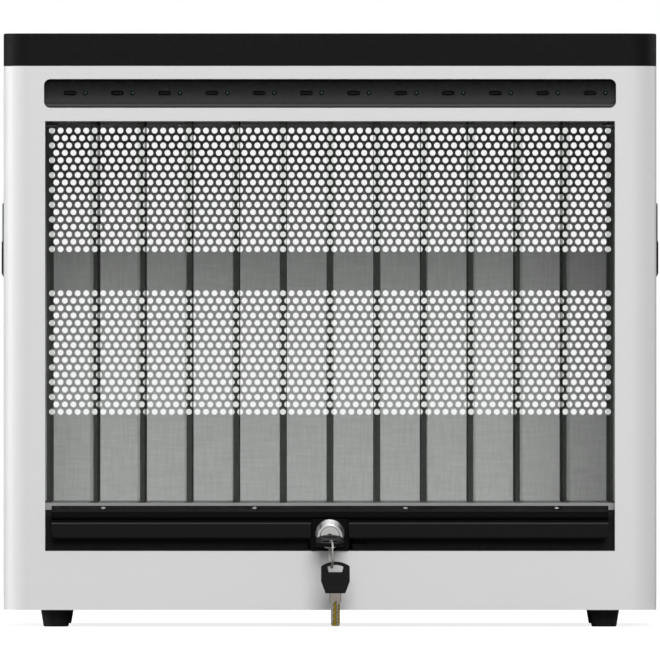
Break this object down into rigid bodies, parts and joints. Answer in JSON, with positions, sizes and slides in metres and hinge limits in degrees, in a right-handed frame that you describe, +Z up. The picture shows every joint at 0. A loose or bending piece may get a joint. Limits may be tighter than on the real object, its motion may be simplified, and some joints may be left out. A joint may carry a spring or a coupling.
{
  "type": "phone charging locker",
  "caption": "Free-standing steel charging cabinet with clear-divided bays, a port strip above, a top-hinged clear door with a keyed cam lock, a perforated rear panel and rubber feet.",
  "frame": {"origin": "centre of the whole footprint, keys included, on the surface that the feet stand on", "axes": "+Z up, +X to the right seen from the front, +Y towards the rear panel"},
  "size_m": [0.4644, 0.356, 0.418],
  "materials": {
    "casing_paint": "fine satin powder coat, pale grey",
    "black_moulding": "fine-grained black moulding",
    "rail_black": "semi-gloss black",
    "vent_steel": "satin grey paint",
    "shelf_steel": "satin grey paint",
    "sill_black": "satin black moulding, a shade lighter than the rest",
    "cover_black": "semi-gloss black strip",
    "fascia_black": "satin black moulding",
    "divider_acrylic": "clear polished sheet, faintly green at its sawn edges",
    "pane_acrylic": "clear sheet with polished edges",
    "zinc_screw": "bright zinc plate",
    "black_screw": "black zinc plate",
    "socket_steel": "bright drawn shell, dark inside",
    "led_lens": "unlit, smoked green lens",
    "board_lacquer": "green solder mask",
    "component_black": "moulded component bodies",
    "psu_steel": "plain folded sheet",
    "switch_black": "polished black",
    "foot_rubber": "matt black rubber",
    "lock_chrome": "bright chrome plate",
    "lock_brass": "nickelled brass, worn at the keyway",
    "cam_steel": "zinc-plated stamping",
    "key_plastic": "satin black moulding",
    "key_nickel": "nickel plate with brass in the milled cuts",
    "ring_steel": "nickel-plated spring wire"
  },
  "bodies": {
    "cabinet": {"cabinet_shell": "casing_paint", "base_pan": "shelf_steel", "top_cap": "black_moulding", "cap_screws": "zinc_screw", "rear_panel": "vent_steel", "rear_screws": "zinc_screw", "foot_screws": "zinc_screw", "bay_floor": "shelf_steel", "bay_ceiling": "shelf_steel", "port_fascia": "fascia_black", "usb_sockets": "socket_steel", "status_leds": "led_lens", "hub_board": "board_lacquer", "hub_components": "component_black", "board_standoffs": "zinc_screw", "power_supply": "psu_steel", "psu_screws": "zinc_screw", "power_inlet": "black_moulding", "switch_housing": "black_moulding", "door_sill": "sill_black", "door_bumpers": "foot_rubber", "hinge_pins": "zinc_screw", "foot_front_left": "foot_rubber", "foot_front_right": "foot_rubber", "foot_rear_left": "foot_rubber", "foot_rear_right": "foot_rubber", "side_handle_left": "black_moulding", "hinge_block_left": "black_moulding", "side_handle_right": "black_moulding", "hinge_block_right": "black_moulding", "end_divider_left": "divider_acrylic", "end_divider_right": "divider_acrylic", "divider_01": "divider_acrylic", "divider_02": "divider_acrylic", "divider_03": "divider_acrylic", "divider_04": "divider_acrylic", "divider_05": "divider_acrylic", "divider_06": "divider_acrylic", "divider_07": "divider_acrylic", "divider_08": "divider_acrylic", "divider_09": "divider_acrylic", "divider_10": "divider_acrylic", "divider_11": "divider_acrylic"},
    "door": {"door_pane": "pane_acrylic", "door_rail": "rail_black", "rail_cover": "cover_black", "rail_screws": "black_screw", "lock_housing": "rail_black", "lock_barrel": "lock_chrome", "lock_nut": "zinc_screw"},
    "lock_core": {"lock_plug": "lock_brass", "lock_cam": "cam_steel", "cam_screw": "zinc_screw"},
    "key": {"key_head": "key_plastic", "key_blade": "key_nickel"},
    "ring": {"key_ring": "ring_steel"},
    "spare_key": {"spare_key_head": "key_plastic", "spare_key_blade": "key_nickel"},
    "power_rocker": {"switch_rocker": "switch_black"}
  },
  "joints": [
    {"name": "door_hinge", "type": "hinge", "parent": "cabinet", "child": "door", "pos_m": [0, -0.12055, 0.3528], "axis": [-1, 0, 0], "range_deg": [0, 90]},
    {"name": "lock_turn", "type": "hinge", "parent": "door", "child": "lock_core", "pos_m": [0, -0.13455, 0.066], "axis": [0, 0.9703, 0.2419], "range_deg": [0, 90]},
    {"name": "key_slide", "type": "slide", "parent": "lock_core", "child": "key", "axis": [0, -0.9703, -0.2419], "range_m": [0, 0.018]},
    {"name": "ring_swing", "type": "hinge", "parent": "key", "child": "ring", "pos_m": [0, -0.16638, 0.05806], "axis": [-1, 0, 0], "range_deg": [0, 80]},
    {"name": "spare_key_swing", "type": "hinge", "parent": "ring", "child": "spare_key", "pos_m": [0.0009, -0.16798, 0.04226], "axis": [0, 1, 0], "range_deg": [-15, 15]},
    {"name": "rocker_tilt", "type": "hinge", "parent": "cabinet", "child": "power_rocker", "pos_m": [0.126, 0.17195, 0.371], "axis": [1, 0, 0], "range_deg": [0, 16]}
  ]
}
